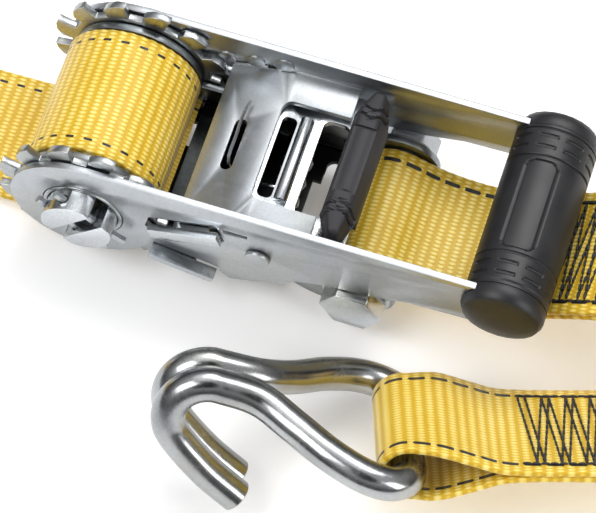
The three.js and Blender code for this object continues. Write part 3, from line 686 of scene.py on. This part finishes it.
def add_long_strap(material, black):
    leave = AXIS_Z - WOUND_R - 1.6
    line = arc((0, AXIS_Z), AXIS_Z - leave, -55, -92, 10)
    line += [(p.x, p.y) for p in spline([
        (-2, leave, 0), (-12, leave - 0.5, 0), (-30, leave - 2.2, 0), (-50, LAID_Z + 0.6, 0), (-70, LAID_Z, 0)])]
    fine = Route(line)

    def lead_point(s, v, h):
        x, z, dx, dz = fine.at(s)
        return Vector((x + dz * h, v, z - dx * h))

    left, right = BUNDLE[0] + 2.5, BUNDLE[1] - 2.5
    rest = [(-70, LAID_Z), (right + 2.0, LAID_Z)]
    for layer in range(BUNDLE_LAYERS):
        z = LAID_Z + layer * LAYER_PITCH
        start, end = (right, left) if layer % 2 == 0 else (left, right)
        if layer == BUNDLE_LAYERS - 1:
            end = BUNDLE[0] + 1
        rest += [(start + (end - start) * i / 16, z) for i in range(17)]
        if layer < BUNDLE_LAYERS - 1:
            bulge = -1 if layer % 2 == 0 else 1
            middle = z + LAYER_PITCH / 2
            for k in range(1, 6):
                a = -math.pi / 2 + math.pi * k / 6
                rest.append((end + bulge * LAYER_PITCH / 2 * math.cos(a), middle + LAYER_PITCH / 2 * math.sin(a)))
    top = rest[-1][1]
    eye = HOOK_B.x + HOOK_DOUBLE
    for k in range(1, 31):
        t = k / 30
        rest.append((BUNDLE[0] + (eye - BUNDLE[0]) * t, top + (HOOK_B.z + 1.2 - top) * smooth_step(t)))
    rest += [(HOOK_B.x + p.x, HOOK_B.z + p.y) for p in EYE_ROUTE.points[::4]]
    places = []
    for a, b in zip(rest, rest[1:]):
        gap = math.hypot(b[0] - a[0], b[1] - a[1])
        parts = max(int(gap / 3.0), 1)
        places += [(a[0] + (b[0] - a[0]) * k / parts, a[1] + (b[1] - a[1]) * k / parts) for k in range(parts)
                   if gap > 1e-4]
    places.append(rest[-1])
    reach = [0.0]
    for a, b in zip(places, places[1:]):
        reach.append(reach[-1] + math.hypot(b[0] - a[0], b[1] - a[1]))
    heading = []
    for i in range(len(places)):
        a, b = places[max(i - 1, 0)], places[min(i + 1, len(places) - 1)]
        heading.append(Vector((b[0] - a[0], b[1] - a[1])).normalized())
    lookup = {fine.length + s: (place, ahead) for s, place, ahead in zip(reach, places, heading)}

    def whole_point(s, v, h):
        if s in lookup:
            (x, z), ahead = lookup[s]
            return Vector((x + ahead.y * h, v, z - ahead.x * h))
        return lead_point(s, v, h)

    stations = stations_every(fine.length, 0.925)[:-1] + list(lookup)
    bar = stations[-1] - EYE_ROUTE.length / 2

    def width(s):
        return eye_width(abs(s - bar) - 9.0)

    strap("long_strap", stations, whole_point, material,
          ["long_strap_lead", "strap_bundle", "strap_tail", "hook_b_strap_eye"], width=width)

    def hook_b_point(s, v, h):
        a, b, da, db = EYE_ROUTE.at(s)
        return HOOK_B + X * (a + h * db) + Z * (b - h * da) + Y * v

    add_stitching("hook_b_stitching", hook_b_point, 6, 56, 1, black, "base")


def add_wound_webbing(material):
    """The wraps on the drum: one strap in a spiral that starts in the drum's slot."""
    inner, outer = 14.5, WOUND_R - HALF_THICK - 0.1
    turns = (outer - inner) / 2.35
    line = []
    for k in range(int(turns * 96) + 1):
        a = 2 * math.pi * k / 96
        r = inner + (outer - inner) * k / (turns * 96)
        line.append((r * math.cos(a + 2.2), AXIS_Z + r * math.sin(a + 2.2)))
    route = Route(line)

    def point(s, v, h):
        x, z, dx, dz = route.at(s)
        return Vector((x + dz * h, v, z - dx * h))

    strap("drum_wraps", stations_every(route.length, 0.925), point, material, ["drum_webbing"], body="drum",
          scallop=0.3)


# ---- steel --------------------------------------------------------------
def refined(node, material, body, slot, bevel=0.35, segments=2, name=None):
    """A copy of a CAD node with clean flat faces and rounded edges."""
    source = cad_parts[node]
    mesh = source.data.copy()
    mesh.materials.clear()
    mesh.materials.append(material)
    work = bmesh.new()
    work.from_mesh(mesh)
    bmesh.ops.remove_doubles(work, verts=work.verts, dist=2e-6)
    bmesh.ops.dissolve_limit(work, angle_limit=math.radians(1.0), verts=work.verts, edges=work.edges)
    for face in work.faces:
        face.material_index = 0
        face.smooth = True
    work.to_mesh(mesh)
    work.free()
    piece = bpy.data.objects.new(name or f"{node}_finished", mesh)
    piece.matrix_world = source.matrix_world.copy()
    bpy.context.scene.collection.objects.link(piece)
    if bevel:
        soft = piece.modifiers.new("edges", "BEVEL")
        soft.width = bevel * 0.001
        soft.segments = segments
        soft.limit_method = "ANGLE"
        soft.angle_limit = math.radians(32)
        soft.use_clamp_overlap = True
        soft.harden_normals = False
        applied = bpy.data.meshes.new_from_object(piece.evaluated_get(bpy.context.evaluated_depsgraph_get()))
        piece.modifiers.clear()
        piece.data = applied
    crease(piece, 40.0)
    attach(piece, body)
    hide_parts(node)
    return piece


BOWL, BOWL_R, TIP = (-67.6, 11.4), 13.4, (-57.0, -21.9)
WIRE_R, WIRE_SPACING, BIGHT_HALF = 6.0, 6.15, 30.5


def hook_line():
    def spread(u):
        return WIRE_SPACING + (BIGHT_HALF - WIRE_SPACING) * smooth_step((u + 56) / 44)

    side = [TIP, (-68.6, -10)] + arc(BOWL, BOWL_R, 205, 65, 7)
    side += [(-50, 19.5), (-38, 13.6), (-26, 8.6), (-14, 3.9)]
    half = [(u, spread(u), n) for u, n in side]
    half += [(-5.5, BIGHT_HALF - 0.6, 1), (0, BIGHT_HALF - 5.5, 0), (0.3, 12, 0), (0.3, 0, 0)]
    return half + [(u, -w, n) for u, w, n in reversed(half[:-1])]


def add_hook(letter, place, yaw, tilt, material):
    u, w, n = hook_axes(yaw, tilt)
    line = [place + u * p.x + w * p.y + n * p.z for p in spline(hook_line(), 8)]
    points, faces = tube(line, WIRE_R, sides=28, chamfer=0.7)
    piece = new_piece(f"hook_{letter}_bar", points, faces, material, f"hook_{letter}")
    turn_outwards(piece)
    crease(piece, 38.0)
    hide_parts(f"hook_{letter}")


# ---- rubber -------------------------------------------------------------
def grip_radius(angle, y):
    """The sleeve's surface: ring grooves, two rows of dashes at each end, and a plain recess."""
    radius = 14.9
    distance = abs(y)

    def groove(at, width, depth):
        return depth * max(1.0 - (abs(distance - at) / width) ** 4, 0.0) if abs(distance - at) < width else 0.0

    radius -= groove(19.6, 0.45, 0.55)
    degrees = math.degrees(angle) % 40.0
    if 5.5 < degrees < 34.5:
        radius -= groove(23.6, 0.75, 0.6) + groove(27.9, 0.75, 0.6)
    radius -= groove(30.9, 0.35, 0.4)
    off = abs((math.degrees(angle) - 96.0 + 180.0) % 360.0 - 180.0) * 14.9 * math.pi / 180.0
    corner = max(off - 3.2, 0.0), max(distance - 14.8, 0.0)
    reach = math.hypot(*corner)
    if reach < 3.0:
        radius -= 0.35
    if 2.55 < reach < 3.15:
        radius -= 0.4
    return radius


def add_grip(material):
    rows = [-32.2 + 64.4 * i / 280 for i in range(281)]
    sides = 216
    angles = [2 * math.pi * k / sides for k in range(sides)]
    rings = [[(GRIP[0] + r * math.cos(a), y, GRIP[1] + r * math.sin(a))
              for a, r in ((a, grip_radius(a, y)) for a in angles)] for y in rows]
    end = [[(GRIP[0] + 8.5 * math.cos(a), y, GRIP[1] + 8.5 * math.sin(a)) for a in angles] for y in (-32.2, 32.2)]
    points, faces = loft([end[0]] + rings + [end[1]], closed_ends=False)
    last = (len(rings) + 1) * sides
    for k in range(sides):
        after = (k + 1) % sides
        faces.append((last + k, last + after, after, k))
    piece = new_piece("grip_sleeve_moulded", points, faces, material, "handle")
    turn_outwards(piece)
    crease(piece, 50.0)
    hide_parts("grip_sleeve")


def add_finger_pull(material):
    """A hexagonal rubber pull with a flat top, a plain framed recess and chevrons at each end."""
    profile = [(-6.4, 12.7), (-6.4, 17.0), (-6.2, 20.2), (-5.6, 22.4), (-5.0, 24.5), (-4.5, 26.2), (-3.8, 27.1),
               (-2.8, 27.4), (-1.4, 27.5), (0.2, 27.5), (1.8, 27.4), (2.9, 27.2), (3.7, 26.4), (4.4, 24.6),
               (5.3, 22.2), (6.1, 20.0), (6.4, 18.8), (6.4, 12.7)]
    rows = [-29.4 + 58.8 * i / 196 for i in range(197)]
    rings = []
    for y in rows:
        taper = max(abs(y) - 21.0, 0.0) / 8.5
        low, high = 82.1 + 4.3 * taper, 94.9 - 2.6 * taper
        middle, half = (low + high) / 2, (high - low) / 2
        end = max(abs(y) - 27.6, 0.0) / 1.8
        ring = []
        for offset, z in profile:
            place = offset / 6.4
            size = 1.0 - 0.16 * end ** 2
            x = middle + place * half * size
            top = (z - 12.7) / 14.8
            height = 12.7 + (z - 12.7) * (1.0 - 0.10 * taper - 0.08 * end ** 2)
            chevron = abs(y) - 0.55 * abs(offset)
            if (16.0 < chevron < 17.1 or 19.2 < chevron < 20.3) and top > 0.42:
                x -= math.copysign(0.7, place)
                height -= 0.8
            if abs(y) < 13.5 and top > 0.95:
                frame_line = abs(y) > 12.6 or abs(offset) > 2.6
                height -= 0.9 if frame_line else 0.35
            if abs(y) > 19.4:
                height = max(height, 19.7 + 0.06 * (height - 12.7))
            ring.append((x, y, AXIS_Z + height))
        rings.append(ring)
    points, faces = loft(rings)
    piece = new_piece("finger_pull_moulded", points, faces, material, "handle_pawl")
    turn_outwards(piece)
    crease(piece, 48.0)
    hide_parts("finger_pull")


# ---- assembly -----------------------------------------------------------
def main():
    add_camera()
    add_studio()
    add_floor()
    plate = steel("zinc_plate", (0.50, 0.525, 0.55), (0.42, 0.445, 0.47), (0.46, 0.46, 0.39), rough=(0.30, 0.42),
                  stretch=(0.15, 1, 1))
    # Painted shade: the base frame's steel is a darker copy of the zinc, and below 4 mm between the base's sides it
    # is painted near-black.
    dark = steel("zinc_painted_shade", (0.30, 0.32, 0.335), (0.20, 0.215, 0.225), (0.31, 0.30, 0.20), rough=(0.26, 0.4),
                 sunk=0.004)
    # Painted shade: the lock pawl is painted near-black wherever it lies between the base's sides.
    pawl_steel = steel("pawl_zinc", (0.60, 0.63, 0.66), (0.46, 0.49, 0.52), (0.48, 0.47, 0.38), rough=(0.18, 0.32),
                       sunk=0.1)
    bright = steel("bright_zinc", (0.66, 0.69, 0.72), (0.52, 0.55, 0.58), (0.54, 0.53, 0.44), rough=(0.16, 0.3))
    wheel = steel("wheel_zinc", (0.50, 0.52, 0.53), (0.34, 0.36, 0.37), (0.42, 0.41, 0.32), rough=(0.24, 0.4))
    bar = steel("hook_zinc", (0.46, 0.475, 0.48), (0.30, 0.31, 0.32), (0.40, 0.37, 0.28), rough=(0.16, 0.3))
    gold = webbing("webbing_short", dash=0.76, dash_pitch=7.8, line_half=0.8)
    gold_long = webbing("webbing_long", dash=0.45, dash_pitch=6.6, rib=0.8)
    black = thread()
    grip = rubber("grip_rubber", (0.020, 0.020, 0.022), (0.012, 0.012, 0.014), (0.38, 0.5))
    pull = rubber("pull_rubber", (0.026, 0.025, 0.029), (0.015, 0.014, 0.017), (0.5, 0.64))

    for node, material, body, slot, bevel in (
        ("base_frame", dark, "base", "zinc_plated_steel", 0.3),
        ("base_bolt", bright, "base", "bright_zinc_steel", 0.6),
        ("bolt_nut", plate, "base", "zinc_plated_steel", 0.6),
        ("bolt_washer_near", plate, "base", "zinc_plated_steel", 0.25),
        ("bolt_washer_far", plate, "base", "zinc_plated_steel", 0.25),
        ("bolt_sleeve", plate, "base", "zinc_plated_steel", 0.3),
        ("lock_spring_pin", plate, "base", "zinc_plated_steel", 0.3),
        ("lock_spring", plate, "base", "zinc_plated_steel", 0.0),
        ("lock_pawl", pawl_steel, "lock_pawl", "bright_zinc_steel", 0.35),
        ("mandrel_half_upper", bright, "drum", "bright_zinc_steel", 0.8),
        ("mandrel_half_lower", bright, "drum", "bright_zinc_steel", 0.8),
        ("split_pin_near_1", plate, "drum", "zinc_plated_steel", 0.0),
        ("split_pin_near_2", plate, "drum", "zinc_plated_steel", 0.0),
        ("split_pin_far_1", plate, "drum", "zinc_plated_steel", 0.0),
        ("split_pin_far_2", plate, "drum", "zinc_plated_steel", 0.0),
        ("ratchet_wheel_near", wheel, "drum", "wheel_steel", 0.3),
        ("ratchet_wheel_far", wheel, "drum", "wheel_steel", 0.3),
        ("drum_collar_near", wheel, "drum", "zinc_plated_steel", 0.3),
        ("drum_collar_far", wheel, "drum", "zinc_plated_steel", 0.3),
        ("handle_frame", plate, "handle", "zinc_plated_steel", 0.3),
        ("grip_tube", plate, "handle", "zinc_plated_steel", 0.2),
        ("pawl_spring_pin", plate, "handle", "zinc_plated_steel", 0.5),
        ("pawl_spring", bright, "handle", "zinc_plated_steel", 0.0),
        ("handle_pawl", bright, "handle_pawl", "bright_zinc_steel", 0.35),
        ("grip_cap_near", grip, "handle", "grip_rubber", 1.0),
        ("grip_cap_far", grip, "handle", "grip_rubber", 1.0),
    ):
        refined(node, material, body, slot, bevel)

    add_fixed_strap(gold, black)
    add_long_strap(gold_long, black)
    add_wound_webbing(gold_long)
    add_hook("a", HOOK_A, HOOK_YAW, HOOK_TILT, bar)
    add_hook("b", HOOK_B, 0.0, 0.0, bar)
    add_grip(grip)
    add_finger_pull(pull)

    look = bpy.context.scene.view_settings
    look.view_transform = "Standard"
    bpy.context.view_layer.update()


main()
